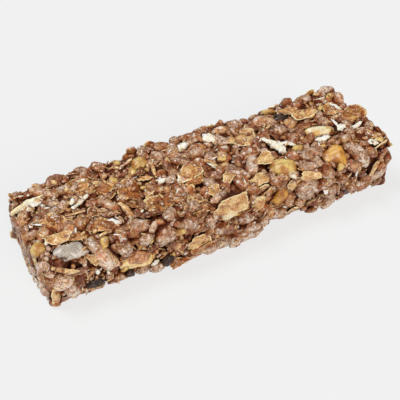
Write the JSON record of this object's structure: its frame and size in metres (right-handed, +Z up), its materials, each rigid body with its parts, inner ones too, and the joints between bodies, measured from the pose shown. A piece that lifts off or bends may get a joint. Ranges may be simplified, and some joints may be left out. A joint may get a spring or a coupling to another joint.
{
  "type": "granola bar",
  "caption": "Pressed granola bar: an uneven block of syrup-coated puffed cereal and oats with peanuts, raisins and coconut set in its surface.",
  "frame": {"origin": "on the flat underside, under the middle of the bar", "axes": "+X along the bar's length, +Y towards the long side away from the viewer, +Z up"},
  "size_m": [0.1249, 0.0405, 0.022],
  "materials": {
    "syrup_cereal": "brown cereal under a thin glossy coat of chocolate syrup",
    "peanut": "dry golden nut, slightly oily",
    "coconut": "dull off-white",
    "raisin": "nearly black, wrinkled, satin"
  },
  "bodies": {
    "root": {"bar": "syrup_cereal", "peanut_half": "peanut", "peanut_cone": "peanut", "peanut_split": "peanut", "peanut_skin": "peanut", "peanut_front": "peanut", "peanut_pale": "peanut", "peanut_corner": "peanut", "peanut_edge": "peanut", "peanut_rear": "peanut", "chunk_rear": "peanut", "peanut_right": "peanut", "coconut_chunk": "coconut", "coconut_curl": "coconut", "coconut_strip": "coconut", "coconut_rear": "coconut", "raisin_back": "raisin", "raisin_low": "raisin", "raisin_front": "raisin", "raisin_rear": "raisin"}
  },
  "joints": []
}
